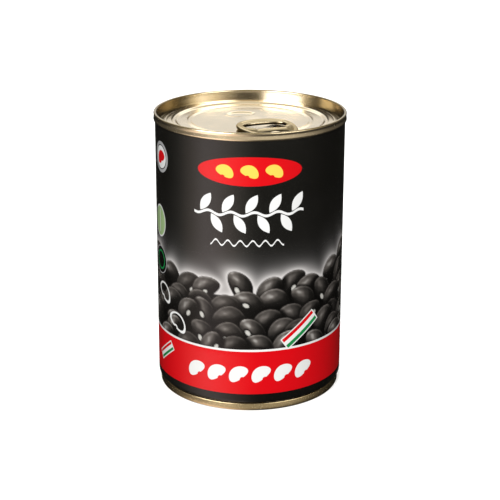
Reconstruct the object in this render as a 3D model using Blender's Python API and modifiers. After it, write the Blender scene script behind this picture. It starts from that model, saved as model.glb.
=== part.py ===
"""A shut food can, 73 mm by 110 mm, with a printed body and a ring-pull end. Metres, +Z up, base at z = 0."""

import math

import bmesh
import bpy
from mathutils import Matrix

MM = 0.001

# Driving sizes
CAN_HEIGHT = 110.0 * MM
BODY_RADIUS = 36.6 * MM
GAP = 0.3 * MM
TURN_STEPS = 72

# Top seam and lid
TOP_SEAM_RADIUS = 37.15 * MM
TOP_SEAM_HEIGHT = 3.0 * MM
TOP_SEAM_WALL = 1.15 * MM
BODY_RIM_WALL = 0.35 * MM
LID_DEPTH = 4.0 * MM
LID_UNDERSIDE = CAN_HEIGHT - 5.7 * MM
GROOVE_DEPTH = 4.5 * MM
GROOVE_RADIUS = 34.9 * MM
CHUCK_FOOT_RADIUS = 35.3 * MM
SHELF_RISE = 0.3 * MM
OUTER_BEAD_RADIUS = 29.4 * MM
OUTER_BEAD_RISE = 0.6 * MM
INNER_BEAD_RADIUS = 23.4 * MM
INNER_BEAD_RISE = 0.3 * MM
BEAD_HALF_WIDTH = 1.2 * MM

# Base seam and base end
BASE_SEAM_RADIUS = 35.75 * MM
BASE_SEAM_HEIGHT = 2.9 * MM
BASE_SEAM_WALL = 1.3 * MM
NECK_RADIUS = 35.15 * MM
NECK_HEIGHT = 1.9 * MM
BODY_LIP_WALL = 0.4 * MM
BASE_TOP = 4.9 * MM
BASE_GROOVE_DEPTH = 4.0 * MM
BASE_PANEL_DEPTH = 3.1 * MM
BASE_BEAD_RADII = (29.5 * MM, 21.0 * MM)
BASE_BEAD_DROP = 0.45 * MM

# Ring-pull tab. Its own Y axis runs from the nose to the finger end through the can's axis.
TAB_TURN = math.radians(21)
TAB_BACK = -6.2 * MM
TAB_LENGTH = 26.3 * MM
TAB_WIDTH = 24.4 * MM
TAB_TAPER = 0.24
TAB_SQUARENESS = 2.35
TAB_THICKNESS = 1.55 * MM
TAB_CURL = 0.6 * MM
TAB_UNDERSIDE = CAN_HEIGHT - 3.65 * MM
FINGER_HOLE_WIDTH = 17.4 * MM
FINGER_HOLE_LENGTH = 9.6 * MM
FINGER_HOLE_CENTRE = -16.0 * MM
FINGER_HOLE_TAPER = 0.1
BAR_BACK = -21.3 * MM
BAR_FRONT = -23.6 * MM
BAR_LENGTH = 11.8 * MM
BAR_GROOVE = 0.8 * MM
WEB_FRONT = -30.0 * MM
WEB_THICKNESS = 0.5 * MM
WEB_RECESS = 0.55 * MM
NOSE_LIFT = 0.55 * MM
NOSE_START = -27.0 * MM

# Rivet, pressed out of the lid's own plate
RIVET_CENTRE = -26.7 * MM
RIVET_STEM_RADIUS = 1.9 * MM
RIVET_HEAD_RADIUS = 2.9 * MM
RIVET_HEAD_HEIGHT = 0.5 * MM

# Finger well in the lid, under the tab's ring and behind it
WELL_DEPTH = 0.8 * MM
WELL_BACK_CENTRE = 9.0 * MM
WELL_BACK_RADIUS = 6.6 * MM
WELL_FRONT_CENTRE = -10.0 * MM
WELL_FRONT_RADIUS = 8.0 * MM
WELL_CORNER = 0.6 * MM

for leftover in list(bpy.data.objects):
    bpy.data.objects.remove(leftover, do_unlink=True)

can = bpy.data.collections.new("canned_beans")
cutters = bpy.data.collections.new("cutters")
for group in (can, cutters):
    bpy.context.scene.collection.children.link(group)


def finish(name, colour, roughness, metallic):
    """A Principled material for one sub-part."""
    material = bpy.data.materials.new(name)
    material.use_nodes = True
    shader = material.node_tree.nodes["Principled BSDF"]
    shader.inputs["Base Color"].default_value = (*colour, 1.0)
    shader.inputs["Roughness"].default_value = roughness
    shader.inputs["Metallic"].default_value = metallic
    return material


def arc(centre_r, centre_z, radius, start, end, steps):
    """Points on an arc in the profile plane, angles in degrees from the +r direction."""
    angles = [math.radians(start + (end - start) * step / steps) for step in range(steps + 1)]
    return [(centre_r + radius * math.cos(a), centre_z + radius * math.sin(a)) for a in angles]


def bead(centre_r, base_z, rise, steps=6):
    """A rounded ring pressed into a flat panel, from its inner foot to its outer foot."""
    spots = [2 * step / steps - 1 for step in range(steps + 1)]
    return [
        (centre_r + spot * BEAD_HALF_WIDTH, base_z + rise * (1 + math.cos(math.pi * spot)) / 2)
        for spot in spots
    ]


def ease(start, end, steps=4):
    """An S-shaped slope between two points of a profile, flat at both ends."""
    points = []
    for step in range(steps + 1):
        share = step / steps
        height = (1 - math.cos(math.pi * share)) / 2
        points.append((start[0] + (end[0] - start[0]) * share, start[1] + (end[1] - start[1]) * height))
    return points


def place(obj, group, material=None):
    """Puts an object in a collection, and marks a cutter as one."""
    group.objects.link(obj)
    if material:
        obj.data.materials.append(material)
    if group is cutters:
        obj.hide_render = True
        obj.display_type = "WIRE"
    return obj


def turned(name, profile, group, material=None, steps=TURN_STEPS):
    """A profile in the XZ plane, spun round the Z axis by a Screw modifier."""
    mesh = bpy.data.meshes.new(name)
    edges = [(i, i + 1) for i in range(len(profile) - 1)]
    mesh.from_pydata([(r, 0.0, z) for r, z in profile], edges, [])
    obj = place(bpy.data.objects.new(name, mesh), group, material)
    screw = obj.modifiers.new("turn", "SCREW")
    screw.steps = steps
    screw.render_steps = steps
    screw.use_merge_vertices = True
    screw.merge_threshold = 0.00001
    screw.use_smooth_shade = True
    return obj


def cut(obj, cutter, operation="DIFFERENCE"):
    """Cuts an object by a cutter, or joins the two, with a live Boolean."""
    boolean = obj.modifiers.new(f"{operation.lower()} {cutter.name}", "BOOLEAN")
    boolean.operation = operation
    boolean.object = cutter


def rounded_outline(width, length, centre_y, taper, squareness, points):
    """A closed superellipse round (0, centre_y), narrower towards -Y by the taper."""
    power = 2 / squareness
    outline = []
    for i in range(points):
        angle = 2 * math.pi * i / points
        across = math.copysign(abs(math.cos(angle)) ** power, math.cos(angle))
        along = math.copysign(abs(math.sin(angle)) ** power, math.sin(angle))
        narrowing = 1 - taper * (1 - along) / 2
        outline.append((width / 2 * across * narrowing, centre_y + length / 2 * along))
    return outline


def two_circle_outline(back_y, back_radius, front_y, front_radius, points):
    """The outline of a belt round two circles on the Y axis."""
    lean = math.asin((front_radius - back_radius) / (back_y - front_y))
    outline = []
    for centre, radius, start, end in (
        (back_y, back_radius, lean, math.pi - lean),
        (front_y, front_radius, math.pi - lean, 2 * math.pi + lean),
    ):
        for step in range(points + 1):
            angle = start + (end - start) * step / points
            outline.append((radius * math.cos(angle), centre + radius * math.sin(angle)))
    return outline


def flat_solid(name, outlines, bottom, top, rounding, group, material=None):
    """Outlines in the tab's own XY plane made a plate with rounded edges, as a closed mesh."""
    curve = bpy.data.curves.new(name, "CURVE")
    curve.dimensions = "2D"
    curve.fill_mode = "BOTH"
    curve.extrude = (top - bottom) / 2 - rounding
    curve.bevel_depth = rounding
    curve.bevel_resolution = 1
    for outline in outlines:
        spline = curve.splines.new("POLY")
        spline.points.add(len(outline) - 1)
        for point, (x, y) in zip(spline.points, outline):
            point.co = (x, y, 0.0, 1.0)
        spline.use_cyclic_u = True
    shape = bpy.data.objects.new(name, curve)
    bpy.context.scene.collection.objects.link(shape)
    shape.location = (0.0, 0.0, (top + bottom) / 2)
    shape.rotation_euler = (0.0, 0.0, TAB_TURN)
    bpy.context.view_layer.update()
    graph = bpy.context.evaluated_depsgraph_get()
    mesh = bpy.data.meshes.new_from_object(shape.evaluated_get(graph))
    place_in_world = shape.matrix_world.copy()
    bpy.data.objects.remove(shape, do_unlink=True)
    bpy.data.curves.remove(curve)
    welded = bmesh.new()
    welded.from_mesh(mesh)
    bmesh.ops.remove_doubles(welded, verts=welded.verts, dist=0.000001)
    bmesh.ops.recalc_face_normals(welded, faces=welded.faces)
    welded.to_mesh(mesh)
    welded.free()
    mesh.name = name
    obj = place(bpy.data.objects.new(name, mesh), group, material)
    obj.matrix_world = place_in_world
    mesh.shade_smooth()
    mesh.set_sharp_from_angle(angle=math.radians(40))
    return obj


def block(name, width, back_y, front_y, bottom, top):
    """A cutting block across the tab."""
    bm = bmesh.new()
    size = (width, back_y - front_y, top - bottom)
    middle = (0.0, (back_y + front_y) / 2, (bottom + top) / 2)
    bmesh.ops.create_cube(bm, size=1.0, matrix=Matrix.Translation(middle) @ Matrix.Diagonal((*size, 1.0)))
    mesh = bpy.data.meshes.new(name)
    bm.to_mesh(mesh)
    bm.free()
    obj = place(bpy.data.objects.new(name, mesh), cutters)
    obj.rotation_euler = (0.0, 0.0, TAB_TURN)
    return obj


def drum(name, radius, centre_y, bottom, top):
    """A round cutter on the tab's middle line."""
    bm = bmesh.new()
    bmesh.ops.create_cone(
        bm, cap_ends=True, segments=32, radius1=radius, radius2=radius, depth=top - bottom
    )
    mesh = bpy.data.meshes.new(name)
    bm.to_mesh(mesh)
    bm.free()
    obj = place(bpy.data.objects.new(name, mesh), cutters)
    obj.location = on_tab_line(centre_y, (bottom + top) / 2)
    return obj


def on_tab_line(y, z):
    """A point of the tab's middle line, turned into the can's frame."""
    return (-y * math.sin(TAB_TURN), y * math.cos(TAB_TURN), z)


def make_body():
    """The printed tin body with its contents, one solid, with a lip at each end for the end's plate."""
    top = CAN_HEIGHT - TOP_SEAM_HEIGHT - GAP
    bottom = BASE_SEAM_HEIGHT + GAP
    neck_top = bottom + NECK_HEIGHT
    profile = [
        (0.0, LID_UNDERSIDE - GAP),
        (BODY_RADIUS - BODY_RIM_WALL, LID_UNDERSIDE - GAP),
        (BODY_RADIUS - BODY_RIM_WALL, top),
        (BODY_RADIUS, top),
    ]
    profile += neck_curve(neck_top, bottom)
    profile += [
        (NECK_RADIUS - BODY_LIP_WALL, bottom),
        (NECK_RADIUS - BODY_LIP_WALL, BASE_TOP + GAP),
        (0.0, BASE_TOP + GAP),
    ]
    return turned("can_body", profile, can, finish("printed_tin", (0.02, 0.02, 0.018), 0.28, 0.1))


def neck_curve(top, bottom, steps=6):
    """The body drawn in to the narrower base seam: round at the shoulder, steeper below."""
    drop = BODY_RADIUS - NECK_RADIUS
    points = []
    for step in range(steps + 1):
        share = step / steps
        points.append((BODY_RADIUS - drop * share**2, top - (top - bottom) * math.sin(share * math.pi / 2)))
    return points


def make_lid():
    """The ring-pull end: seam, chuck wall, groove, two beads, finger well and rivet."""
    panel = CAN_HEIGHT - LID_DEPTH
    shelf = panel + SHELF_RISE
    groove = CAN_HEIGHT - GROOVE_DEPTH
    seam_middle = TOP_SEAM_RADIUS - TOP_SEAM_WALL / 2
    seam_turn = CAN_HEIGHT - TOP_SEAM_WALL / 2
    seam_foot = CAN_HEIGHT - TOP_SEAM_HEIGHT
    seam_corner = 0.25 * MM
    skirt = BODY_RADIUS - BODY_RIM_WALL - GAP
    slope = 1.7 * MM
    groove_half = 0.25 * MM

    profile = [(0.0, panel)]
    profile += bead(INNER_BEAD_RADIUS, panel, INNER_BEAD_RISE)
    profile += ease((OUTER_BEAD_RADIUS - slope, panel), (OUTER_BEAD_RADIUS, panel + OUTER_BEAD_RISE))
    profile += ease(
        (OUTER_BEAD_RADIUS, panel + OUTER_BEAD_RISE),
        (OUTER_BEAD_RADIUS + BEAD_HALF_WIDTH, shelf),
    )[1:]
    profile += [
        (GROOVE_RADIUS - 0.9 * MM, shelf),
        (GROOVE_RADIUS - 0.65 * MM, shelf - 0.1 * MM),
        (GROOVE_RADIUS - groove_half, groove),
        (GROOVE_RADIUS + groove_half, groove),
        (CHUCK_FOOT_RADIUS, groove + 0.3 * MM),
    ]
    profile += arc(seam_middle, seam_turn, TOP_SEAM_WALL / 2, 180, 0, 8)
    profile += [
        (TOP_SEAM_RADIUS, seam_foot + seam_corner),
        (TOP_SEAM_RADIUS - seam_corner, seam_foot),
        (skirt, seam_foot),
        (skirt, LID_UNDERSIDE),
        (0.0, LID_UNDERSIDE),
    ]
    lid = turned("lid", profile, can, finish("gold_tinplate", (0.62, 0.5, 0.31), 0.25, 1.0))

    web_top = TAB_UNDERSIDE + TAB_THICKNESS - WEB_RECESS
    head_bottom = web_top + GAP
    head_top = head_bottom + RIVET_HEAD_HEIGHT
    rivet_profile = [
        (0.0, head_top),
        (RIVET_HEAD_RADIUS * 0.8, head_top),
        (RIVET_HEAD_RADIUS, head_top - 0.2 * MM),
        (RIVET_HEAD_RADIUS, head_bottom),
        (RIVET_STEM_RADIUS, head_bottom),
        (RIVET_STEM_RADIUS, LID_UNDERSIDE + 0.5 * MM),
        (0.0, LID_UNDERSIDE + 0.5 * MM),
    ]
    rivet = turned("rivet_form", rivet_profile, cutters, steps=32)
    rivet.location = on_tab_line(RIVET_CENTRE, 0.0)
    cut(lid, rivet, "UNION")

    well = two_circle_outline(
        WELL_BACK_CENTRE,
        WELL_BACK_RADIUS - WELL_CORNER,
        WELL_FRONT_CENTRE,
        WELL_FRONT_RADIUS - WELL_CORNER,
        20,
    )
    well_cutter = flat_solid(
        "well_form", [well], panel - WELL_DEPTH, CAN_HEIGHT, WELL_CORNER, cutters
    )
    cut(lid, well_cutter)
    return lid


def make_tab():
    """The ring-pull: a curled rim round a finger hole, a bar, and a sunk web that the rivet holds."""
    top = TAB_UNDERSIDE + TAB_THICKNESS
    web_top = top - WEB_RECESS
    web_bottom = web_top - WEB_THICKNESS
    middle = TAB_BACK - TAB_LENGTH / 2
    outer = rounded_outline(
        TAB_WIDTH - 2 * TAB_CURL, TAB_LENGTH - 2 * TAB_CURL, middle, TAB_TAPER, TAB_SQUARENESS, 64
    )
    hole = rounded_outline(
        FINGER_HOLE_WIDTH + 2 * TAB_CURL,
        FINGER_HOLE_LENGTH + 2 * TAB_CURL,
        FINGER_HOLE_CENTRE,
        FINGER_HOLE_TAPER,
        TAB_SQUARENESS,
        40,
    )
    tab = flat_solid(
        "pull_tab",
        [outer, hole],
        TAB_UNDERSIDE,
        top,
        TAB_CURL,
        can,
        finish("tab_tinplate", (0.6, 0.48, 0.3), 0.3, 1.0),
    )

    clear = 1.0 * MM
    island_length = BAR_FRONT - WEB_FRONT
    island = rounded_outline(
        BAR_LENGTH + 0.6 * MM, island_length, BAR_FRONT - island_length / 2, TAB_TAPER, 3.0, 32
    )
    cut(tab, flat_solid("island_form", [island], web_top, top + clear, 0.2 * MM, cutters))
    cut(tab, block("bar_groove", BAR_LENGTH, BAR_BACK + BAR_GROOVE, BAR_BACK, web_top, top + clear))
    hollow = rounded_outline(
        BAR_LENGTH + 1.2 * MM,
        BAR_BACK + BAR_GROOVE - NOSE_START,
        (BAR_BACK + BAR_GROOVE + NOSE_START) / 2,
        TAB_TAPER,
        3.0,
        32,
    )
    cut(tab, flat_solid("hollow_form", [hollow], TAB_UNDERSIDE - clear, web_bottom, 0.2 * MM, cutters))
    cut(tab, block("nose_relief", TAB_WIDTH, NOSE_START, TAB_BACK - TAB_LENGTH - clear,
                   TAB_UNDERSIDE - clear, TAB_UNDERSIDE + NOSE_LIFT))
    cut(tab, drum("rivet_hole", RIVET_STEM_RADIUS + GAP, RIVET_CENTRE, web_bottom - clear, top + clear))
    return tab


def make_base():
    """The base end: a seam that the can stands on, round a sunk panel with two rings."""
    seam_inner = BASE_SEAM_RADIUS - BASE_SEAM_WALL
    corner = 0.4 * MM
    foot_of_wall = 33.9 * MM
    plate_radius = NECK_RADIUS - BODY_LIP_WALL - GAP
    profile = [
        (0.0, BASE_TOP),
        (plate_radius, BASE_TOP),
        (plate_radius, BASE_SEAM_HEIGHT),
        (BASE_SEAM_RADIUS - corner, BASE_SEAM_HEIGHT),
    ]
    profile += arc(BASE_SEAM_RADIUS - corner, BASE_SEAM_HEIGHT - corner, corner, 60, 0, 2)
    profile += arc(BASE_SEAM_RADIUS - corner, corner, corner, 0, -90, 3)
    profile += arc(seam_inner + corner, corner, corner, -90, -180, 3)
    profile += [
        (foot_of_wall, BASE_GROOVE_DEPTH - 0.4 * MM),
        (foot_of_wall - 0.3 * MM, BASE_GROOVE_DEPTH),
        (foot_of_wall - 0.8 * MM, BASE_GROOVE_DEPTH),
    ]
    profile += ease(
        (foot_of_wall - 1.0 * MM, BASE_GROOVE_DEPTH - 0.1 * MM),
        (foot_of_wall - 1.8 * MM, BASE_PANEL_DEPTH),
        2,
    )
    for radius in BASE_BEAD_RADII:
        profile += reversed(bead(radius, BASE_PANEL_DEPTH, -BASE_BEAD_DROP, 4))
    profile.append((0.0, BASE_PANEL_DEPTH))
    return turned("base_end", profile, can, finish("base_tinplate", (0.55, 0.45, 0.28), 0.3, 1.0))


make_body()
make_lid()
make_tab()
make_base()
bpy.context.view_layer.update()
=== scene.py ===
import math
import random

import bpy
import numpy as np
from mathutils import Matrix


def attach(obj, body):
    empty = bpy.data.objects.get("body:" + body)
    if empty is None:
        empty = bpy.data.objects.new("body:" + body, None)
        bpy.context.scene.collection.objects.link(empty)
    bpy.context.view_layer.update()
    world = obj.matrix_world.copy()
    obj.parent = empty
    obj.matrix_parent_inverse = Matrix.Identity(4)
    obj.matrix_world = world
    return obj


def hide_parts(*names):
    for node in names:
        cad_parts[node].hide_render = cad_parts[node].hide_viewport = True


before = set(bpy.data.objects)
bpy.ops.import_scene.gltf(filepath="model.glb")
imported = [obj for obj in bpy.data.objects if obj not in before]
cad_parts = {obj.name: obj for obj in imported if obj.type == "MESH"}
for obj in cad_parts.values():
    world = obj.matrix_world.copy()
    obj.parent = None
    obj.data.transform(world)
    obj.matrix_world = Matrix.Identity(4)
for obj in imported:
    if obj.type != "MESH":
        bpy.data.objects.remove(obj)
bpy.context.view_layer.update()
mm = 0.001
scene = bpy.context.scene
bpy.ops.object.select_all(action="DESELECT")
print("frame loaded:", ", ".join(sorted(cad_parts)))

# The camera stands where the photograph was taken from, looking slightly down on the can
shot = {
    "back": 527.01,  # mm in front of the can's axis
    "height": 231.87,
    "pitch": 18.733,
    "roll": 0.19,
    "focalPixels": 1402.0,
    "imagePixels": 500,
    "sensor": 36.0,
    "sideShift": 0.0007,
}
cameraData = bpy.data.cameras.new("shotCamera")
cameraData.sensor_width = shot["sensor"]
cameraData.lens = shot["focalPixels"] / shot["imagePixels"] * shot["sensor"]
cameraData.shift_x = shot["sideShift"]
cameraData.clip_start = 0.01
camera = bpy.data.objects.new("shotCamera", cameraData)
scene.collection.objects.link(camera)
camera.location = (0.0, -shot["back"] * mm, shot["height"] * mm)
lookDown = Matrix.Rotation(math.radians(90 - shot["pitch"]), 3, "X")
camera.rotation_euler = (lookDown @ Matrix.Rotation(math.radians(shot["roll"]), 3, "Z")).to_euler()
scene.camera = camera
scene.view_settings.view_transform = "Standard"


class Wire:
    # one output socket, with Python's signs standing for Math nodes
    def __init__(self, sheet, socket):
        self.sheet = sheet
        self.socket = socket

    def other(self, name):
        return Wire(self.sheet, self.socket.node.outputs[name])

    def maths(self, operation, *others):
        return self.sheet.maths(operation, self, *others)

    def __add__(self, other):
        return self.maths("ADD", other)

    def __radd__(self, other):
        return self.maths("ADD", other)

    def __sub__(self, other):
        return self.maths("SUBTRACT", other)

    def __rsub__(self, other):
        return self.sheet.maths("SUBTRACT", other, self)

    def __mul__(self, other):
        return self.maths("MULTIPLY", other)

    def __pow__(self, power):
        return self.maths("POWER", power)

    def __abs__(self):
        return self.maths("ABSOLUTE")

    def atLeast(self, low):
        return self.maths("MAXIMUM", low)

    def wrapped(self, half):
        return self.maths("WRAP", half, -half)

    def eased(self, low, high):
        return self.sheet.node(
            "ShaderNodeMapRange",
            {"interpolation_type": "SMOOTHSTEP"},
            {"Value": self, "From Min": low, "From Max": high},
        )


class Sheet:
    # the node tree of one material, or of the world
    def __init__(self, owner):
        self.owner = owner
        owner.use_nodes = True
        self.tree = owner.node_tree
        self.tree.nodes.clear()

    def node(self, kind, settings=None, sockets=None, output=0):
        made = self.tree.nodes.new(kind)
        for key, value in (settings or {}).items():
            if key == "stops":
                fillRamp(made.color_ramp, value)
            else:
                setattr(made, key, value)
        for key, value in (sockets or {}).items():
            if isinstance(value, Wire):
                self.tree.links.new(value.socket, made.inputs[key])
            elif isinstance(value, tuple) and made.inputs[key].type == "RGBA":
                made.inputs[key].default_value = (*value, 1.0)
            else:
                made.inputs[key].default_value = value
        return Wire(self, made.outputs[output]) if len(made.outputs) else made

    def maths(self, operation, *values):
        return self.node("ShaderNodeMath", {"operation": operation}, dict(enumerate(values)))

    def ramp(self, factor, stops):
        return self.node("ShaderNodeValToRGB", {"stops": stops}, {"Fac": factor})

    def mix(self, factor, under, over):
        sockets = {0: factor, 6: under, 7: over}
        return self.node("ShaderNodeMix", {"data_type": "RGBA"}, sockets, output=2)

    def place(self):
        # Object coordinates in millimetres
        point = self.node("ShaderNodeTexCoord", output="Object")
        vector = self.node("ShaderNodeVectorMath", {"operation": "SCALE"}, {0: point, "Scale": 1 / mm})
        x = self.node("ShaderNodeSeparateXYZ", None, {0: vector})
        return vector, x, x.other("Y"), x.other("Z")

    def noise(self, vector, scale, detail=3.0):
        sockets = {"Vector": vector, "Scale": scale, "Detail": detail}
        return self.node("ShaderNodeTexNoise", None, sockets)

    def stretched(self, vector, scale):
        return self.node("ShaderNodeMapping", None, {"Vector": vector, "Scale": scale})

    def bump(self, height, strength, distance):
        sockets = {"Height": height, "Strength": strength, "Distance": distance}
        return self.node("ShaderNodeBump", None, sockets)

    def painted(self, sockets):
        shader = self.node("ShaderNodeBsdfPrincipled", None, sockets)
        self.node("ShaderNodeOutputMaterial", None, {"Surface": shader})
        return self.owner


def fillRamp(ramp, stops):
    while len(ramp.elements) < len(stops):
        ramp.elements.new(1.0)
    for element, (position, colour) in zip(ramp.elements, stops):
        element.position = position
        element.color = (*colour, 1.0)


def grey(value):
    return (value, value, value)


# Modelling helpers, each a few operators

def pick(piece):
    bpy.ops.object.select_all(action="DESELECT")
    piece.select_set(True)
    bpy.context.view_layer.objects.active = piece


def startEdit(piece):
    pick(piece)
    bpy.ops.object.mode_set(mode="EDIT")
    bpy.ops.mesh.select_mode(type="VERT")


def endEdit():
    bpy.ops.object.mode_set(mode="OBJECT")


def named(name):
    piece = bpy.context.object
    piece.name = name
    piece.data.name = name
    return piece


def applyAll(piece):
    pick(piece)
    for modifier in list(piece.modifiers):
        bpy.ops.object.modifier_apply(modifier=modifier.name)


def settle(piece):
    # puts the piece's place into its mesh
    pick(piece)
    bpy.ops.object.transform_apply(location=True, rotation=True, scale=True)


def booleanWith(piece, other, operation):
    modifier = piece.modifiers.new("join", "BOOLEAN")
    modifier.operation = operation
    modifier.object = other
    modifier.solver = "EXACT"
    applyAll(piece)
    bpy.data.objects.remove(other, do_unlink=True)


def smoothPiece(piece, angle):
    pick(piece)
    bpy.ops.object.shade_smooth_by_angle(angle=math.radians(angle))


def readPoints(piece):
    points = np.empty(len(piece.data.vertices) * 3, np.float32)
    piece.data.vertices.foreach_get("co", points)
    return points.reshape(-1, 3).astype(np.float64) / mm


def writePoints(piece, points):
    piece.data.vertices.foreach_set("co", (points * mm).astype(np.float32).ravel())
    piece.data.update()


def turnedPiece(name, profile, sides):
    # draws a ring of edges along a profile, from the axis above, round the outside, to the axis below
    radius, level = profile[0]
    bpy.ops.mesh.primitive_circle_add(vertices=sides, radius=radius * mm, fill_type="NOTHING")
    piece = named(name)
    startEdit(piece)
    bpy.ops.mesh.select_all(action="SELECT")
    bpy.ops.transform.translate(value=(0, 0, level * mm))
    for nextRadius, nextLevel in profile[1:]:
        lift = (0, 0, (nextLevel - level) * mm)
        bpy.ops.mesh.extrude_edges_move(TRANSFORM_OT_translate={"value": lift})
        if nextRadius != radius:
            scale = nextRadius / radius
            bpy.ops.transform.resize(value=(scale, scale, 1), center_override=(0, 0, nextLevel * mm))
        radius, level = nextRadius, nextLevel
    bpy.ops.mesh.extrude_edges_move()
    bpy.ops.mesh.merge(type="CENTER")
    bpy.ops.mesh.select_all(action="DESELECT")
    endEdit()
    for vertex in piece.data.vertices[:sides]:
        vertex.select = True
    startEdit(piece)
    bpy.ops.mesh.extrude_edges_move()
    bpy.ops.mesh.merge(type="CENTER")
    bpy.ops.mesh.select_all(action="SELECT")
    bpy.ops.mesh.remove_doubles(threshold=0.000001)
    bpy.ops.mesh.normals_make_consistent(inside=False)
    endEdit()
    return piece


def levels(start, end, step):
    # evenly spaced values after start, up to end
    count = max(1, round(abs(end - start) / step))
    return [start + (end - start) * i / count for i in range(1, count + 1)]


def arcPoints(radius, level, bend, start, end, count):
    angles = [math.radians(start + (end - start) * i / count) for i in range(count + 1)]
    return [(radius + bend * math.cos(angle), level + bend * math.sin(angle)) for angle in angles]


def easePoints(start, end, count):
    # an S-shaped slope, flat at both ends, without its first point
    points = []
    for i in range(1, count + 1):
        rise = (1 - math.cos(math.pi * i / count)) / 2
        points.append((start[0] + (end[0] - start[0]) * i / count, start[1] + (end[1] - start[1]) * rise))
    return points


def smoothStep(value, low, high):
    share = np.clip((value - low) / (high - low), 0, 1)
    return share * share * (3 - 2 * share)


def dress(piece, node, material):
    piece.data.materials.clear()
    piece.data.materials.append(material)
    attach(piece, "root")
    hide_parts(node)


# Printed body

body = {
    "radius": 36.6,
    "top": 106.7,
    "rimWall": 0.35,
    "lidRest": 104.0,
    "neckRadius": 35.15,
    "neckTop": 5.1,
    "foot": 3.2,
    "lipWall": 0.4,
    "baseRest": 5.2,
    "sides": 600,
    "fineStep": 0.38,  # rows of the bean print
    "fineFrom": 25.0,
    "fineTo": 63.0,
    "glowTo": 81.0,
}

bodyProfile = [(0.5, body["lidRest"]), (18.0, body["lidRest"])]
bodyProfile.append((body["radius"] - body["rimWall"], body["lidRest"]))
bodyProfile.append((body["radius"] - body["rimWall"], body["top"]))
wallLevels = [body["top"]] + levels(body["top"], body["glowTo"], 5.0)
wallLevels += levels(body["glowTo"], body["fineTo"], 1.2)
wallLevels += levels(body["fineTo"], body["fineFrom"], body["fineStep"])
wallLevels += levels(body["fineFrom"], body["neckTop"], 5.0)
bodyProfile += [(body["radius"], level) for level in wallLevels]
neckSteps = 10
for i in range(1, neckSteps + 1):
    share = i / neckSteps
    bodyProfile.append((
        body["radius"] - (body["radius"] - body["neckRadius"]) * share**2,
        body["neckTop"] - (body["neckTop"] - body["foot"]) * math.sin(share * math.pi / 2),
    ))
bodyProfile += [
    (body["neckRadius"] - body["lipWall"], body["foot"]),
    (body["neckRadius"] - body["lipWall"], body["baseRest"]),
    (18.0, body["baseRest"]),
    (0.5, body["baseRest"]),
]
printedBody = turnedPiece("printedBody", bodyProfile, body["sides"])
smoothPiece(printedBody, 50)
print("body modelled:", len(printedBody.data.polygons), "faces")

beans = {
    "seed": 41,
    "perHalf": 11,  # beans in one row of the half that is printed twice
    "rows": 7,
    "rowStep": 6.1,
    "firstRow": 4.2,  # mm under the heap's top
    "length": (6.1, 7.0),  # half of a bean's length, mm
    "width": (4.1, 4.7),
    "tilt": (5, 70),
    "heapTop": 54.0,
    "sideRise": 6.5,
    "sideAngles": (0.75, 1.3),  # radians from the middle of the print, between which the heap rises
    "solidFrom": 6.5,  # mm under the heap's top, below which no ground shows between the beans
    "light": (-0.38, 0.62, 0.69),
    "gapLight": 0.015,
    "fillLight": 0.03,
    "faceLight": 0.52,
    "facePower": 1.9,
    "glint": 0.34,
    "glintPower": 22,
    "upperRim": 0.36,
    "lowerShade": 0.8,
    "underShade": 0.93,
    "mottle": 0.08,
    "spotShare": 0.38,
    "spotRadii": (1.3, 0.82),
    "spotColour": (0.56, 0.545, 0.5),
    "skin": [
        (0.0, (0.0022, 0.002, 0.0018)), (0.2, (0.01, 0.009, 0.008)), (0.45, (0.052, 0.046, 0.041)),
        (0.7, (0.135, 0.12, 0.108)), (1.0, (0.42, 0.4, 0.37)),
    ],
    "softEdge": 0.2,
    "glowSoftness": 0.9,
    "nearGlow": (0.85, 1.6),  # strength at the heap, and mm over which it fades
    "farGlow": (0.15, 4.5),
}


def heapTop(angle):
    return beans["heapTop"] + beans["sideRise"] * smoothStep(np.abs(angle), *beans["sideAngles"])


def drawBeans():
    # where each printed bean lies: upper rows first, so that lower ones lie in front
    rng = random.Random(beans["seed"])
    half = body["radius"] * math.pi / 2
    pitch = 2 * half / beans["perHalf"]
    drawn = []
    for row in range(beans["rows"]):
        line = []
        for column in range(beans["perHalf"]):
            along = (column + 0.5 * (row % 2) + rng.uniform(-0.24, 0.24)) * pitch - half
            top = float(heapTop(np.array(along / body["radius"])))
            line.append({
                "along": along,
                "level": top - beans["firstRow"] - row * beans["rowStep"] + rng.uniform(-1.5, 1.5),
                "length": rng.uniform(*beans["length"]),
                "width": rng.uniform(*beans["width"]),
                "tilt": math.radians(rng.choice((-1, 1)) * rng.uniform(*beans["tilt"])),
                "bend": rng.uniform(0.1, 0.5),
                "tone": rng.uniform(0.72, 1.18),
                "spot": rng.random() < beans["spotShare"],
                "spotShift": rng.uniform(-0.15, 0.35),
                "spotSide": rng.uniform(0.35, 0.62),
                "phase": rng.uniform(0, 6),
            })
        line.sort(key=lambda bean: -bean["level"])
        drawn += line
    return drawn


def turnedTo(normal, light, size=1.0):
    # how far each normal looks towards the light, 0 to 1
    return np.clip((normal[0] * light[0] + normal[1] * light[1] + normal[2] * light[2]) / size, 0, 1)


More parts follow.
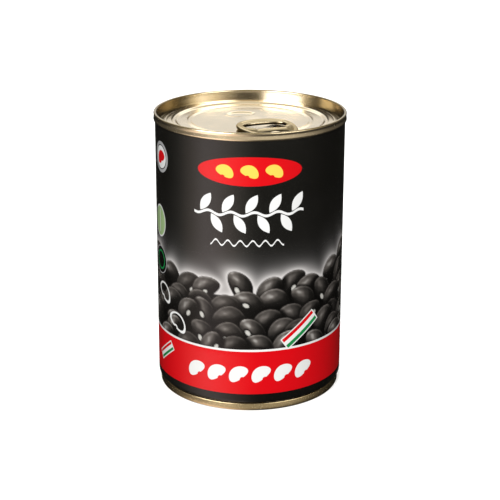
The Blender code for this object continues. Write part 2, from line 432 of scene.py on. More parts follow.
def paintBeans(piece):
    points = readPoints(piece)
    angle = np.arctan2(points[:, 0], -points[:, 1])
    angle = (angle + math.pi / 2) % math.pi - math.pi / 2
    wall = np.hypot(points[:, 0], points[:, 1]) > body["radius"] - 0.05
    wall &= (points[:, 2] > body["fineFrom"] - 1) & (points[:, 2] < body["glowTo"] + 1)
    along, level = angle[wall] * body["radius"], points[wall, 2]
    cover = smoothStep(heapTop(angle[wall]) - beans["solidFrom"] - level, 0.0, 0.6)
    light = np.full(len(along), beans["gapLight"])
    spot = np.zeros(len(along))
    nearness = np.full(len(along), 1e-9)
    soft = beans["softEdge"]
    period = body["radius"] * math.pi
    sunX, sunY, sunZ = beans["light"]
    for bean in drawBeans():
        across = (along - bean["along"] + period / 2) % period - period / 2
        up = level - bean["level"]
        turnCos, turnSin = math.cos(bean["tilt"]), math.sin(bean["tilt"])
        u = across * turnCos + up * turnSin
        v = -across * turnSin + up * turnCos
        long, wide = bean["length"], bean["width"]
        v = v + bean["bend"] * wide / long**2 * (u * u - long * long / 3)
        q = np.sqrt((u / long) ** 2 + (v / wide) ** 2)
        gap = np.hypot(u, v) * (1 - 1 / np.maximum(q, 0.01))
        nearness += np.exp(-np.maximum(gap, 0) / beans["glowSoftness"])
        # shade under the bean, on what lies there already
        shadeU, shadeV = (u - 0.9 * turnSin) / (long * 1.22), (v + 1.1 * turnCos) / (wide * 1.3)
        light *= 1 - beans["underShade"] * (1 - smoothStep(np.sqrt(shadeU**2 + shadeV**2), 0.72, 1.08))
        inside = gap < soft
        uIn, vIn, qIn = u[inside], v[inside], np.minimum(q[inside], 1)
        normal = np.stack([uIn / long**2, vIn / wide**2, np.sqrt(1 - qIn**2) / wide * 0.9])
        normal /= np.linalg.norm(normal, axis=0)
        sun = (sunX * turnCos + sunY * turnSin, -sunX * turnSin + sunY * turnCos, sunZ)
        facing = turnedTo(normal, sun)
        upward = normal[0] * turnSin + normal[1] * turnCos
        halfway = (sun[0], sun[1], sun[2] + 1)
        size = math.sqrt(sum(part * part for part in halfway))
        glint = turnedTo(normal, halfway, size)
        value = beans["fillLight"] + beans["faceLight"] * facing ** beans["facePower"]
        value += beans["glint"] * glint ** beans["glintPower"]
        value += beans["upperRim"] * smoothStep(qIn, 0.78, 0.95) * np.clip(upward, 0, 1)
        value *= 1 - beans["lowerShade"] * smoothStep(qIn, 0.6, 1.0) * np.clip(-upward, 0, 1)
        mottle = np.sin(1.9 * uIn + bean["phase"]) * np.sin(2.6 * vIn + 2 * bean["phase"])
        value *= 1 + beans["mottle"] * mottle
        value *= bean["tone"]
        eye = np.zeros(len(uIn))
        if bean["spot"]:
            eyeU = uIn - bean["spotShift"] * long
            eyeV = vIn + bean["spotSide"] * wide
            ring = np.sqrt((eyeU / beans["spotRadii"][0]) ** 2 + (eyeV / beans["spotRadii"][1]) ** 2)
            value *= 1 - 0.75 * (1 - smoothStep(ring, 1.3, 1.9))
            eye = 1 - smoothStep(ring, 0.75, 1.15)
        share = 1 - smoothStep(gap[inside], -soft, soft)
        light[inside] += (value - light[inside]) * share
        spot[inside] += (eye - spot[inside]) * share
        cover[inside] += (1 - cover[inside]) * share
    away = np.maximum(-beans["glowSoftness"] * np.log(nearness), 0)
    glow = sum(strength * np.exp(-away / fade) for strength, fade in (beans["nearGlow"], beans["farGlow"]))
    picture = np.zeros((len(points), 4))
    picture[wall] = np.stack([light, spot, cover, glow], axis=1)
    layer = piece.data.attributes.new("beanPrint", "FLOAT_COLOR", "POINT")
    layer.data.foreach_set("color", picture.astype(np.float32).ravel())


paintBeans(printedBody)
print("bean print painted")

ink = {
    "black": (0.0031, 0.003, 0.0024),
    "red": (0.7, 0.0015, 0.0058),
    "white": (0.86, 0.86, 0.84),
    "yellow": (0.93, 0.66, 0.1),
    "green": (0.01, 0.24, 0.06),
    "paleGreen": (0.36, 0.52, 0.24),
    "silver": (0.42, 0.42, 0.42),
    "glow": (0.68, 0.65, 0.63),
    "bareTin": (0.78, 0.63, 0.36),
    "weld": (0.2, 0.17, 0.13),
    "lineTop": 25.6,
    "bandTop": 24.75,
    "bandBottom": 7.25,
    "roughness": 0.24,
    "heapDullness": 0.75,
    "bandDullness": 0.35,
    "dullSpecular": 0.1,
}

# places on the print: mm to the right of its middle, and height; sizes are half lengths and half widths
layout = {
    "ribbonTurn": 36,
    "ribbons": ((20.5, 31.8, 8.6, 2.7, 0.8), (-40.0, 17.4, 6.2, 2.1, 0.65)),  # place, size and stripe
    "rowZ": 15.6,
    "rowPitch": 8.7,
    "rowCount": 6,
    "rowBean": (4.2, 2.6),
    "rowTurn": 38,
    "sprigZ": 79.3,
    "sprigPitch": 8.8,
    "sprigShift": 0.4,
    "sprigHalf": 21.4,
    "stem": (0.7, 1.0),  # height of its waves and width
    "leaf": (4.1, 1.8),
    "leafTurn": 58,
    "leafRise": 3.9,
    "rippleZ": 68.0,
    "rippleRate": 1.35,
    "rippleHeight": 1.05,
    "rippleWidth": 0.65,
    "rippleHalf": 14.0,
    "plaqueZ": 95.4,
    "plaque": (20.0, 5.5),
    "plaqueBean": (3.5, 2.2),
    "plaqueTurn": -24,
    "plaquePitch": 9.2,
    "plaqueHalf": 13.8,
    "seal": (-42.5, 95.2),
    "sealRadius": 6.0,
    "sealBean": (3.4, 2.3),
    "leafBadge": (-44.6, 69.5),
    "leafBadgeSize": (5.4, 6.4),
    "ringBadge": (-44.3, 53.8),
    "ringBadgeRadius": 5.6,
    "outlines": ((-40.8, 41.6), (-31.4, 32.0)),
    "outlineBean": (4.7, 3.0),
    "outlineTurn": -28,
    "seamAngle": 98,
    "seamHalf": 1.9,
    "weldHalf": 0.45,
}


def inside(distance, soft=0.14):
    return distance.eased(soft / 2, -soft / 2)


def stroke(distance, width):
    return inside(abs(distance) - width / 2)


def oval(u, v, halfU, halfV):
    # distance to an ellipse's edge, less than nothing inside
    reach = (u * u * (1 / halfU**2) + v * v * (1 / halfV**2)) ** 0.5
    return (reach - 1) * min(halfU, halfV)


def beanShape(u, v, halfU, halfV):
    # a slightly bent oval with a round hollow in its lower side
    bend = 0.3 * halfV / halfU**2
    bent = v + u * u * bend - bend * halfU**2 / 3
    hollow = (u * u + (v + halfV * 1.12) * (v + halfV * 1.12)) ** 0.5
    return oval(u, bent, halfU, halfV).atLeast(halfV * 0.42 - hollow)


def leafShape(u, v, halfU, halfV):
    return abs(v) + u * u * (halfV / halfU**2) - halfV


def roundedBox(u, v, halfU, halfV, corner):
    du = (abs(u) - (halfU - corner)).atLeast(0.0)
    dv = (abs(v) - (halfV - corner)).atLeast(0.0)
    return (du * du + dv * dv) ** 0.5 - corner


def turnedAxes(u, v, degrees):
    cosine, sine = math.cos(math.radians(degrees)), math.sin(math.radians(degrees))
    return u * cosine + v * sine, v * cosine - u * sine


def printedTin():
    sheet = Sheet(bpy.data.materials.new("printedTin"))
    vector, x, y, z = sheet.place()
    angle = sheet.maths("ARCTAN2", x, y * -1)
    u = angle.wrapped(math.pi / 2) * body["radius"]  # mm round the wall, the same print on both halves
    colour = sheet.mix(sheet.noise(vector, 0.05), ink["black"], tuple(part * 1.2 for part in ink["black"]))

    # heap of beans and the glow behind it
    picture = sheet.node("ShaderNodeAttribute", {"attribute_name": "beanPrint"}, output="Color")
    light = sheet.node("ShaderNodeSeparateColor", None, {0: picture})
    spot, cover, glow = light.other("Green"), light.other("Blue"), picture.other("Alpha")
    colour = sheet.mix(glow, colour, ink["glow"])
    skin = light + (sheet.noise(vector, 0.9, 5.0) - 0.5) * 0.05
    beanColour = sheet.mix(spot, sheet.ramp(skin, beans["skin"]), beans["spotColour"])
    colour = sheet.mix(cover, colour, beanColour)

    def add(mask, name):
        nonlocal colour
        colour = sheet.mix(mask, colour, ink[name])

    def badge(centre, halfU, halfV):
        return oval(u - centre[0], z - centre[1], halfU, halfV)

    # white line, red band and the black foot
    add(inside(z - ink["lineTop"]), "white")
    add(inside(z - ink["bandTop"]), "red")
    add(inside(z - ink["bandBottom"]), "black")

    # slanted ribbon of three colours over the heap, and a small one on the band
    for centreU, centreZ, halfLong, halfWide, stripe in layout["ribbons"]:
        p, q = turnedAxes(u - centreU, z - centreZ, layout["ribbonTurn"])
        add(inside(roundedBox(p, q, halfLong, halfWide, 0.3)), "white")
        colours = inside(roundedBox(p, q, halfLong - 0.45, halfWide - 0.45, 0.15))
        add(colours * inside(stripe - q), "red")
        add(colours * inside(q + stripe), "green")

    # row of white beans on the band
    beanPitch = layout["rowPitch"]
    rowU = (u - beanPitch / 2).wrapped(beanPitch / 2)
    p, q = turnedAxes(rowU, z - layout["rowZ"], layout["rowTurn"])
    rowEnd = inside(abs(u) - beanPitch * layout["rowCount"] / 2)
    add(inside(beanShape(p, q, *layout["rowBean"])) * rowEnd, "white")

    # sprig of leaves across the middle
    sprigZ, sprigPitch = layout["sprigZ"], layout["sprigPitch"]
    sprigU = u + layout["sprigShift"]
    waveHeight, stemWidth = layout["stem"]
    wave = sheet.maths("SINE", sprigU * (2 * math.pi / sprigPitch)) * waveHeight
    add(stroke(z - sprigZ - wave, stemWidth) * inside(abs(sprigU) - layout["sprigHalf"]), "white")
    for side, reach in ((1, sprigPitch * 2.5), (-1, sprigPitch * 2)):
        leafU = (sprigU - sprigPitch * (0.25 - 0.25 * side)).wrapped(sprigPitch / 2)
        p, q = turnedAxes(leafU - 1.1, z - sprigZ - side * layout["leafRise"], side * layout["leafTurn"])
        add(inside(leafShape(p, q, *layout["leaf"])) * inside(abs(sprigU) - reach), "white")

    # thin waved line under it
    ripple = sheet.maths("SINE", u * layout["rippleRate"]) * layout["rippleHeight"]
    rippleEnd = inside(abs(u + 1.0) - layout["rippleHalf"])
    add(stroke(z - layout["rippleZ"] - ripple, layout["rippleWidth"]) * rippleEnd, "white")

    # oval plaque near the top
    add(inside(badge((0.0, layout["plaqueZ"]), *layout["plaque"])), "red")
    plaqueU = u.wrapped(layout["plaquePitch"] / 2)
    p, q = turnedAxes(plaqueU, z - layout["plaqueZ"], layout["plaqueTurn"])
    plaqueEnd = inside(abs(u) - layout["plaqueHalf"])
    add(inside(beanShape(p, q, *layout["plaqueBean"])) * plaqueEnd, "yellow")

    # three round badges at the left
    seal = badge(layout["seal"], layout["sealRadius"], layout["sealRadius"])
    add(inside(seal), "silver")
    add(inside(seal + 1.2), "black")
    add(inside(seal + 1.6), "white")
    p, q = turnedAxes(u - layout["seal"][0], z - layout["seal"][1], 30)
    add(inside(beanShape(p, q, *layout["sealBean"])), "red")
    leaf = badge(layout["leafBadge"], *layout["leafBadgeSize"])
    add(inside(leaf), "white")
    add(inside(leaf + 0.5), "paleGreen")
    add(inside(abs(u - layout["leafBadge"][0]) - 0.25) * inside(leaf + 1.6), "white")
    ring = badge(layout["ringBadge"], layout["ringBadgeRadius"], layout["ringBadgeRadius"])
    add(inside(ring), "silver")
    add(inside(ring + 0.35), "black")
    add(stroke(ring + 2.0, 0.7), "green")

    # two beans in outline, lower left
    for centreU, centreZ in layout["outlines"]:
        p, q = turnedAxes(u - centreU, z - centreZ, layout["outlineTurn"])
        add(stroke(beanShape(p, q, *layout["outlineBean"]), 0.7), "white")

    # bare strip along the welded side seam, at the back right
    seam = abs(angle - math.radians(layout["seamAngle"])) * body["radius"]
    bare = inside(seam - layout["seamHalf"])
    add(bare, "bareTin")
    add(inside(seam - layout["weldHalf"]), "weld")

    # the heap and the band are printed in a duller ink than the black
    grain = sheet.noise(vector, 0.35, 2.0)
    sockets = {
        "Base Color": colour,
        "Metallic": bare,
        "Roughness": ink["roughness"] + (grain - 0.5) * 0.06 + bare * 0.1,
        "Normal": sheet.bump(sheet.noise(vector, 0.6, 1.0), 0.05, 0.00002),
    }
    glossy = sheet.node("ShaderNodeBsdfPrincipled", None, sockets)
    dull = sheet.node("ShaderNodeBsdfPrincipled", None, sockets | {"Specular IOR Level": ink["dullSpecular"]})
    dullBand = inside(z - ink["bandTop"]) * ink["bandDullness"]
    dullness = (cover * ink["heapDullness"]).atLeast(dullBand)
    shader = sheet.node("ShaderNodeMixShader", None, {0: dullness, 1: glossy, 2: dull})
    sheet.node("ShaderNodeOutputMaterial", None, {"Surface": shader})
    return sheet.owner


dress(printedBody, "can_body", printedTin())
print("print finished")


# Gold lacquered tinplate

def tinplate(name, tone, roughness, scuffs, paintedShadeHeights=None, wall=None, edgeTone=(1.0, 1.0, 1.0)):
    # the heights given for the painted shade: below the lower one the lacquer's colour is darkened to stand
    # for the shade under curled edges, above the upper one it is left as it is
    sheet = Sheet(bpy.data.materials.new(name))
    vector, x, y, z = sheet.place()
    cloud = sheet.noise(vector, 0.12, 4.0)
    fine = sheet.noise(sheet.stretched(vector, (0.25, 3.0, 1.0)), 1.6, 4.0)
    darker = tuple(part * 0.9 for part in tone)
    colour = sheet.mix(cloud, darker, tone)
    # painted shade: the colour fades to a near black tone of the lacquer towards the bottom of the piece
    if paintedShadeHeights:
        paintedShadeTone = tuple(part**2 * 0.04 for part in tone)
        colour = sheet.mix(z.eased(*paintedShadeHeights), paintedShadeTone, colour)
    # painted shade: the chuck wall's sides and the seam's crest are darkened in the lacquer's colour
    if wall:
        radius = (x * x + y * y) ** 0.5
        shadedWallZone = radius.eased(*wall["innerEdge"]) - radius.eased(*wall["outerEdge"])
        shadedSides = abs(x).eased(*wall["sides"]) * wall["share"]
        colour = sheet.mix(shadedWallZone * shadedSides, colour, wall["tone"])
        crestShadeShare = abs(x - wall["brightX"]).eased(*wall["brightEdge"]) * 0.7 + 0.3
        colour = sheet.mix(z.eased(*wall["crest"]) * crestShadeShare, colour, wall["crestShadeTone"])
    scratch = sheet.noise(sheet.stretched(vector, (3.5, 0.12, 1.0)), 1.1, 2.0).eased(0.68, 0.74)
    return sheet.painted({
        "Base Color": colour,
        "Metallic": 1.0,
        "Specular Tint": edgeTone,
        "Roughness": roughness + (cloud - 0.5) * 0.08 + scratch * scuffs,
        "Normal": sheet.bump(fine, 0.12, 0.00002),
    })


# Ring-pull end

lid = {
    "panel": 106.0,
    "shelf": 106.3,
    "groove": 105.5,
    "chuckFoot": (35.3, 105.85),
    "seamRadius": 37.15,
    "seamWall": 1.15,
    "seamTop": 110.0,
    "seamFoot": 107.0,
    "skirt": 35.95,
    "underside": 104.3,
    "innerRing": (23.4, 0.3),
    "outerRing": (29.4, 0.6),
    "score": 32.3,
    "scoreDepth": 0.03,
    "sides": 288,
    "tone": (0.85, 0.72, 0.51),
    "roughness": 0.17,
}

# painted shade on the end: the lacquer's colour is darkened on the chuck wall's left and right sides and on
# the crest of the seam, least round the crest's highlight
lidPaintedShade = {
    "innerEdge": (32.2, 34.2),  # radii
    "outerEdge": (36.0, 36.3),
    "sides": (20.0, 31.0),  # mm to the left and right of the axis
    "share": 0.85,
    # painted shade colour for the chuck wall's sides
    "tone": (0.16, 0.12, 0.045),
    "crest": (109.4, 109.75),  # heights
    # painted shade colour for the seam's crest, weakest round the crest's highlight
    "crestShadeTone": (0.38, 0.31, 0.19),
    "brightX": -12.7,  # the crest stays bright round here
    "brightEdge": (3.0, 9.0),
}


def ringPoints(middle, level, rise, half, count):
    points = []
    for i in range(count + 1):
        spread = 2 * i / count - 1
        points.append((middle + spread * half, level + rise * (1 + math.cos(math.pi * spread)) / 2))
    return points


panel, shelf = lid["panel"], lid["shelf"]
lidProfile = [(0.4, panel)] + [(r, panel) for r in levels(0.4, 19.6, 0.4)] + [(21.0, panel)]
lidProfile += ringPoints(lid["innerRing"][0], panel, lid["innerRing"][1], 1.2, 10)
slopeFoot = lid["outerRing"][0] - 1.7
lidProfile += [(25.5, panel), (26.6, panel), (slopeFoot, panel)]
ridge = (lid["outerRing"][0], panel + lid["outerRing"][1])
lidProfile += easePoints((slopeFoot, panel), ridge, 9)
lidProfile += easePoints(ridge, (ridge[0] + 1.2, shelf), 7)
score = lid["score"]
lidProfile += [
    (31.4, shelf), (score - 0.2, shelf), (score - 0.1, shelf - lid["scoreDepth"]),
    (score + 0.1, shelf - lid["scoreDepth"]), (score + 0.2, shelf), (33.2, shelf),
    (34.0, shelf), (34.15, shelf - 0.03), (34.3, shelf - 0.14), (34.42, shelf - 0.4),
    (34.55, shelf - 0.68), (34.7, lid["groove"] + 0.02), (34.9, lid["groove"]),
    (35.08, lid["groove"] + 0.04), (35.22, lid["groove"] + 0.16), lid["chuckFoot"],
    (35.42, 106.6), (35.56, 107.3), (35.72, 108.1), (35.87, 108.85),
]
seamMiddle = lid["seamRadius"] - 0.06 - lid["seamWall"] / 2
seamTurn = lid["seamTop"] - lid["seamWall"] / 2
lidProfile += arcPoints(seamMiddle, seamTurn, lid["seamWall"] / 2, 180, 0, 14)
side, foot = lid["seamRadius"], lid["seamFoot"]
lidProfile += [
    (side - 0.08, 109.28), (side - 0.15, 109.12), (side - 0.125, 108.6), (side - 0.085, 108.1),
    (side - 0.035, 107.6), (side, 107.3), (side - 0.03, 107.15), (side - 0.1, 107.04),
    (side - 0.25, foot),
    (36.6, foot), (lid["skirt"], foot), (lid["skirt"], lid["underside"]),
    (18.0, lid["underside"]), (0.4, lid["underside"]),
]
tinLid = turnedPiece("tinLid", lidProfile, lid["sides"])

tab = {
    "turn": 21.0,
    "back": -6.2,
    "length": 26.3,
    "width": 24.4,
    "taper": 0.24,
    "squareness": 2.35,
    "underside": 106.35,
    "thickness": 1.55,
    "holeWidth": 17.4,
    "holeLength": 9.6,
    "holeMiddle": -16.0,
    "holeTaper": 0.1,
    "barBack": -21.3,
    "barFront": -23.6,
    "barLong": 11.8,
    "webTop": 107.35,
    "webBottom": 106.85,
    "noseStart": -27.0,
    "noseLift": 0.55,
    "rivet": -26.7,
    "rivetStem": 1.9,
    "rivetHead": 2.9,
    "islandMiddle": -27.1,
    "island": (5.9, 3.4),  # half width and half length
    "islandSquareness": 2.8,
    "islandDrop": 0.75,
    "slitDepth": 0.36,
    "around": 240,
    "across": 112,
    "tone": (0.76, 0.65, 0.45),
    "edgeTone": (0.66, 0.58, 0.44),
    # painted shade under the tab's curls and bar, darkest at the lower height and gone at the upper
    "shadedHeights": (107.05, 107.85),
    "roughness": 0.2,
}


def onTabLine(y):
    turn = math.radians(tab["turn"])
    return -y * math.sin(turn), y * math.cos(turn)


def tabAxes(points):
    # the can's frame turned into the tab's own, whose Y runs from the nose to the finger end
    turn = math.radians(tab["turn"])
    x, y = points[:, 0], points[:, 1]
    return x * math.cos(turn) + y * math.sin(turn), y * math.cos(turn) - x * math.sin(turn)


well = {
    "back": (9.0, 6.6),  # middle on the tab's line and radius
    "front": (-10.0, 8.0),
    "depth": 0.8,
    "backShare": 0.62,  # of the depth, at the back end
    "backEdge": 1.7,
    "sideEdge": 7.5,  # the sides slope far more gently than the back end
    "backAngles": (68, 110),  # degrees round the back end, between which its edge turns into the sides'
    "deepensOver": (2.0, 16.0),  # mm in front of the back end's middle
}


def sinkWell(piece):
    points = readPoints(piece)
    x, y = tabAxes(points)
    backY, backRadius = well["back"]
    frontY, frontRadius = well["front"]
    share = np.clip((y - frontY) / (backY - frontY), 0, 1)
    distance = np.hypot(x, y - (frontY + share * (backY - frontY)))
    distance -= frontRadius + share * (backRadius - frontRadius)
    fromBack = np.degrees(np.arctan2(np.abs(x), y - backY))
    sideShare = smoothStep(fromBack, *well["backAngles"])
    edge = well["backEdge"] + (well["sideEdge"] - well["backEdge"]) * sideShare
    deepening = well["backShare"] + (1 - well["backShare"]) * smoothStep(backY - y, *well["deepensOver"])
    weights = smoothStep(-distance / edge, 0.0, 1.0) * deepening
    group = piece.vertex_groups.new(name="well")
    onPanel = np.abs(points[:, 2] - panel) < 0.01
    for index in np.nonzero(onPanel & (weights > 0))[0]:
        group.add([int(index)], float(weights[index]), "REPLACE")
    press = piece.modifiers.new("press", "DISPLACE")
    press.direction = "Z"
    press.mid_level = 0.0
    press.strength = -well["depth"] * mm
    press.vertex_group = "well"
    applyAll(piece)
    piece.vertex_groups.clear()


sinkWell(tinLid)

headFoot = tab["webTop"] - tab["islandDrop"] + 0.1
headShape = [
    (0.2, 0.32), (0.9, 0.32), (1.25, 0.36), (1.6, 0.5), (2.2, 0.5), (2.6, 0.44), (2.82, 0.32),
    (tab["rivetHead"], 0.16), (2.86, 0.05), (2.75, 0.0), (tab["rivetStem"], 0.0),
]
rivetProfile = [(reach, headFoot + rise) for reach, rise in headShape]
rivetProfile += [(tab["rivetStem"], 106.2), (2.1, 106.08), (2.5, 106.02), (2.6, 105.2), (0.2, 105.2)]
rivet = turnedPiece("rivet", rivetProfile, 64)
rivet.location = (*[part * mm for part in onTabLine(tab["rivet"])], 0)
settle(rivet)
booleanWith(tinLid, rivet, "UNION")
smoothPiece(tinLid, 42)
# the lid's lacquer carries painted shade on its wall's sides and its crest
lidMetal = tinplate("lidTinplate", lid["tone"], lid["roughness"], 0.1, wall=lidPaintedShade)
dress(tinLid, "lid", lidMetal)
print("lid modelled:", len(tinLid.data.polygons), "faces")


# Ring-pull tab

def ovalRadius(angles, width, length, middle, taper):
    # how far a squarish oval reaches from the finger hole's middle, towards each angle
    turn = np.linspace(0, 2 * math.pi, 4001)
    power = 2 / tab["squareness"]
    across = np.sign(np.cos(turn)) * np.abs(np.cos(turn)) ** power
    along = np.sign(np.sin(turn)) * np.abs(np.sin(turn)) ** power
    x = width / 2 * across * (1 - taper * (1 - along) / 2)
    y = middle + length / 2 * along - tab["holeMiddle"]
    found, reach = np.arctan2(y, x), np.hypot(x, y)
    order = np.argsort(found)
    return np.interp(angles, found[order], reach[order], period=2 * math.pi)


def lean(angles, radiusOf):
    # cosine between the ray and the outline's normal
    step = 0.01
    slope = (radiusOf(angles + step) - radiusOf(angles - step)) / (2 * step)
    return 1 / np.sqrt(1 + (slope / radiusOf(angles)) ** 2)


def modelTab():
    bpy.ops.mesh.primitive_torus_add(
        major_segments=tab["around"], minor_segments=tab["across"], major_radius=0.01, minor_radius=0.003
    )
    piece = named("ringPull")
    start = readPoints(piece)
    around = np.arctan2(start[:, 1], start[:, 0])
    section = np.arctan2(start[:, 2], np.hypot(start[:, 0], start[:, 1]) - 10.0)

    def holeReach(angles):
        return ovalRadius(angles, tab["holeWidth"], tab["holeLength"], tab["holeMiddle"], tab["holeTaper"])

    def rimReach(angles):
        middle = tab["back"] - tab["length"] / 2
        return ovalRadius(angles, tab["width"], tab["length"], middle, tab["taper"])

    hole, rim = holeReach(around), rimReach(around)
    radius = hole + (rim - hole) * (1 + np.cos(section)) / 2
    x = radius * np.cos(around)
    y = tab["holeMiddle"] + radius * np.sin(around)
    edge = np.minimum((rim - radius) * lean(around, rimReach), (radius - hole) * lean(around, holeReach))

    lift = tab["noseLift"] * (1 - smoothStep(y, tab["noseStart"] - 0.4, tab["noseStart"] + 0.5))
    bottom = tab["underside"] + lift
    top = tab["underside"] + tab["thickness"]
    half = (top - bottom) / 2
    curl = half * np.sqrt(np.clip(1 - (1 - np.clip(edge / half, 0, 1)) ** 2, 0, 1))
    webShare = smoothStep(edge, 1.25, 2.1) * (1 - 0.65 * smoothStep(y, -15.0, -12.0))
    upper = (top + bottom) / 2 + curl
    upper = upper + (tab["webTop"] - upper) * webShare
    # groove along the hole's near side, then the rolled bar
    barEnd = 1 - smoothStep(np.abs(x), tab["barLong"] / 2 - 0.15, tab["barLong"] / 2 + 0.2)
    sunk = barEnd * (1 - smoothStep(y, tab["holeMiddle"] - 3.0, tab["holeMiddle"] - 2.0))
    upper = upper + (np.minimum(upper, tab["webTop"] - 0.3) - upper) * sunk
    barMiddle = (tab["barBack"] + tab["barFront"]) / 2
    barHalf = (tab["barBack"] - tab["barFront"]) / 2 + 0.15
    roll = np.sqrt(np.clip(1 - ((y - barMiddle) / barHalf) ** 2, 0, 1)) * barEnd
    upper = np.maximum(upper, tab["webTop"] + (top - tab["webTop"]) * roll)
    # sunk island round the rivet, with the slit that frees it from the web
    islandY = y - tab["islandMiddle"]
    halfX, halfY = tab["island"]
    power = tab["islandSquareness"]
    island = (np.abs(x / halfX) ** power + np.abs(islandY / halfY) ** power) ** (1 / power)
    slit = (1 - smoothStep(np.abs(island - 1), 0.03, 0.085)) * (1 - smoothStep(islandY, 1.6, 2.6)) * webShare
    drop = tab["islandDrop"] * (1 - smoothStep(island, 0.8, 1.0)) * webShare
    upper -= tab["slitDepth"] * slit + drop
    lower = (top + bottom) / 2 - curl
    lower = lower + (tab["webBottom"] - lower) * smoothStep(edge, 1.0, 1.6) - drop
    z = np.where(np.sin(section) >= 0, upper, lower)
    turn = math.radians(tab["turn"])
    turnedX = x * math.cos(turn) - y * math.sin(turn)
    turnedY = x * math.sin(turn) + y * math.cos(turn)
    writePoints(piece, np.stack([turnedX, turnedY, z], axis=1))
    startEdit(piece)
    bpy.ops.mesh.select_all(action="SELECT")
    bpy.ops.mesh.normals_make_consistent(inside=False)
    endEdit()
    rivetX, rivetY = onTabLine(tab["rivet"])
    bpy.ops.mesh.primitive_cylinder_add(
        vertices=64, radius=(tab["rivetStem"] + 0.2) * mm, depth=4 * mm,
        location=(rivetX * mm, rivetY * mm, 107 * mm),
    )
    booleanWith(piece, named("rivetHole"), "DIFFERENCE")
    smoothPiece(piece, 60)
    return piece


ringPull = modelTab()
tabMetal = tinplate(
    "tabTinplate", tab["tone"], tab["roughness"], 0.12, tab["shadedHeights"], edgeTone=tab["edgeTone"]
)
dress(ringPull, "pull_tab", tabMetal)
print("tab modelled:", len(ringPull.data.polygons), "faces")


# Base end

base = {
    "seamRadius": 35.75,
    "seamHeight": 2.75,
    "seamInner": 34.45,
    "corner": 0.4,
    "top": 4.9,
    "wallFoot": 33.9,
    "groove": 4.0,
    "panel": 3.1,
    "rings": (29.5, 21.0),
    "ringDrop": 0.45,
    "sides": 256,
    # a deeper tone than the lid's: partly a more saturated lacquer, partly painted shade for the dimmer light
    # at the can's foot
    "tone": (0.53, 0.42, 0.245),
    "roughness": 0.22,
}

corner, seamReach = base["corner"], base["seamRadius"]
wallFoot, groove = base["wallFoot"], base["groove"]
baseProfile = [(0.5, base["top"]), (18.0, base["top"]), (base["seamInner"], base["top"])]
baseProfile += [(base["seamInner"], base["seamHeight"])]
baseProfile += arcPoints(seamReach - 0.35 - corner, base["seamHeight"] - corner, corner, 80, 0, 6)
baseProfile += [(seamReach - 0.24, 1.9), (seamReach - 0.12, 1.25), (seamReach - 0.03, 0.7)]
baseProfile += arcPoints(seamReach - corner, corner, corner, 0, -90, 6)
baseProfile += arcPoints(base["seamInner"] + corner, corner, corner, -90, -180, 6)
baseProfile += [(34.3, 1.6), (wallFoot, groove - 0.4), (wallFoot - 0.12, groove - 0.1)]
baseProfile += [(wallFoot - 0.35, groove), (wallFoot - 0.8, groove)]
baseProfile += easePoints((wallFoot - 0.8, groove), (wallFoot - 1.8, base["panel"]), 6)
for radius in base["rings"]:
    baseProfile += reversed(ringPoints(radius, base["panel"], -base["ringDrop"], 1.2, 8))
baseProfile += [(10.0, base["panel"]), (0.5, base["panel"])]
tinBase = turnedPiece("tinBase", baseProfile, base["sides"])
smoothPiece(tinBase, 42)
# the base end's lacquer is darkened as painted shade for the dim light at the foot
baseMetal = tinplate("baseTinplate", base["tone"], base["roughness"], 0.1)
dress(tinBase, "base_end", baseMetal)
print("base modelled:", len(tinBase.data.polygons), "faces")


# Floor, lights and what the tin reflects

studio = {
    "floor": 0.86,
    "ambient": 0.16,
    "keyPower": 22.0,
    "topPower": 30.0,
    "backPower": 10.0,
    "softbox": 3.2,
    "overhead": (0.82, 0.78, 0.68),
    # how steeply a ray rises where each belt of the light takes over from the one under it
    "levelFrom": (-0.22, -0.13),
    "aboveFrom": (0.02, 0.1),
    "highFrom": (0.3, 0.45),
    "overheadFrom": (0.58, 0.66),
}

bpy.ops.mesh.primitive_plane_add(size=8.0)
floor = named("studioFloor")
floorSheet = Sheet(bpy.data.materials.new("floorPaper"))
paper = floorSheet.noise(floorSheet.place()[0], 0.02, 2.0)
floor.data.materials.append(floorSheet.painted({
    "Base Color": floorSheet.mix(paper, grey(studio["floor"]), grey(studio["floor"] + 0.03)),
    "Roughness": 0.9,
}))
floor.visible_glossy = False
floor.visible_diffuse = False


def areaLight(name, azimuth, elevation, distance, size, power):
    # azimuth from the camera's side, towards the right
    data = bpy.data.lights.new(name, "AREA")
    data.shape = "RECTANGLE"
    data.size, data.size_y = size
    data.energy = power
    light = bpy.data.objects.new(name, data)
    scene.collection.objects.link(light)
    a, e = math.radians(azimuth), math.radians(elevation)
    towards = np.array([math.sin(a) * math.cos(e), -math.cos(a) * math.cos(e), math.sin(e)])
    light.location = tuple(towards * distance + np.array([0, 0, 0.05]))
    light.rotation_euler = (math.radians(90 - elevation), 0, math.radians(azimuth))
    light.visible_camera = False
    light.visible_glossy = False


areaLight("frontLight", -8, 40, 1.3, (0.7, 0.6), studio["keyPower"])
areaLight("topLight", 0, 90, 1.5, (2.0, 2.0), studio["topPower"])
areaLight("backLight", 178, 35, 1.4, (0.9, 0.6), studio["backPower"])

world = bpy.data.worlds.new("studio")
scene.world = world
world.cycles.sampling_method = "NONE"
worldSheet = Sheet(world)
direction = worldSheet.node("ShaderNodeTexCoord", output="Generated")
directionX = worldSheet.node("ShaderNodeSeparateXYZ", None, {0: direction})
directionZ = directionX.other("Z")
turnShare = worldSheet.maths("ARCTAN2", directionX, directionX.other("Y") * -1) * (0.5 / math.pi) + 0.5


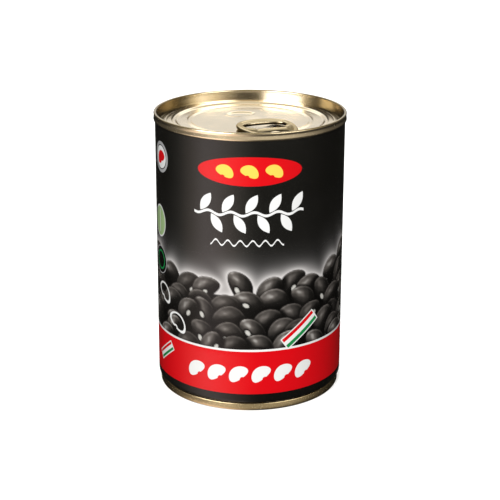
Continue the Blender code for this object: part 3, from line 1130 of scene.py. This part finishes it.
def byAzimuth(values, peak, warmth, blush=0.0):
    # a ramp round the horizon, in degrees right of the camera's side: warmth yellows what is dim there,
    # blush reddens what is bright
    stops = []
    for degrees, value in values:
        share = warmth * (1 - smoothStep(abs(degrees), 140, 165)) * (1 - smoothStep(value, 0.9, 2.0))
        flush = blush * smoothStep(value, 0.3, 1.2)
        green = (1 - 0.13 * share) * (1 - 0.04 * flush)
        blue = (1 - 0.38 * share) * (1 - 0.06 * flush)
        tint = (1 + 0.12 * flush, green, blue)
        stops.append(((degrees + 180) / 360, tuple(value / peak * part for part in tint)))
    ramp = worldSheet.ramp(turnShare, stops)
    return worldSheet.node("ShaderNodeVectorMath", {"operation": "SCALE"}, {0: ramp, "Scale": peak})


softbox = studio["softbox"]
below = byAzimuth([
    (-180, 0.01), (-132, 0.02), (-117, 0.035), (-103, 0.12), (-93, 0.25), (-74, 0.92), (-57, 1.65),
    (-41, 1.6), (-26, 1.15), (-11, 0.66), (4, 0.2), (18, 0.09), (48, 0.09), (65, 0.08), (104, 0.035),
    (138, 0.02), (180, 0.01),
], 1.9, 0.45, 1.0)
level = byAzimuth([
    (-180, 0.05), (-120, 0.08), (-95, 0.12), (-75, 0.2), (-60, 0.33), (-35, 0.72), (-10, 0.63), (10, 0.66),
    (25, 0.7), (50, 0.6), (75, 0.34), (100, 0.14), (180, 0.05),
], 1.0, 0.5)
above = byAzimuth([
    (-180, 0.86), (-160, 0.75), (-145, 0.1), (-132, 0.12), (-109, 0.22), (-98, 0.2), (-85, 0.22), (-72, 0.7),
    (-60, softbox), (-25, softbox), (-15, 0.35), (-9, 0.08), (0, 0.06), (14, 0.07), (31, 0.36), (47, 0.9),
    (62, 1.4), (76, 1.0), (88, 0.55), (100, 0.24), (120, 0.1), (145, 0.1), (160, 0.75), (180, 0.86),
], softbox, 1.0)
high = byAzimuth([
    (-180, 1.9), (-155, 1.5), (-128, 0.05), (-78, 0.05), (-64, 12.0), (-28, 12.0), (-16, 0.8), (14, 0.7),
    (24, 3.0), (34, 7.0), (58, 7.0), (78, 0.8), (90, 0.05), (128, 0.05), (155, 1.5), (180, 1.9),
], 12.0, 0.6)
studioLight = worldSheet.mix(directionZ.eased(*studio["levelFrom"]), below, level)
studioLight = worldSheet.mix(directionZ.eased(*studio["aboveFrom"]), studioLight, above)
studioLight = worldSheet.mix(directionZ.eased(*studio["highFrom"]), studioLight, high)
studioLight = worldSheet.mix(directionZ.eased(*studio["overheadFrom"]), studioLight, studio["overhead"])
rayKind = worldSheet.node("ShaderNodeLightPath", output="Is Camera Ray")
seen = worldSheet.mix(rayKind.other("Is Glossy Ray"), grey(studio["ambient"]), studioLight)
seen = worldSheet.mix(rayKind, seen, grey(1.0))
backdrop = worldSheet.node("ShaderNodeBackground", None, {"Color": seen, "Strength": 1.0})
worldSheet.node("ShaderNodeOutputWorld", None, {"Surface": backdrop})
print("studio set")
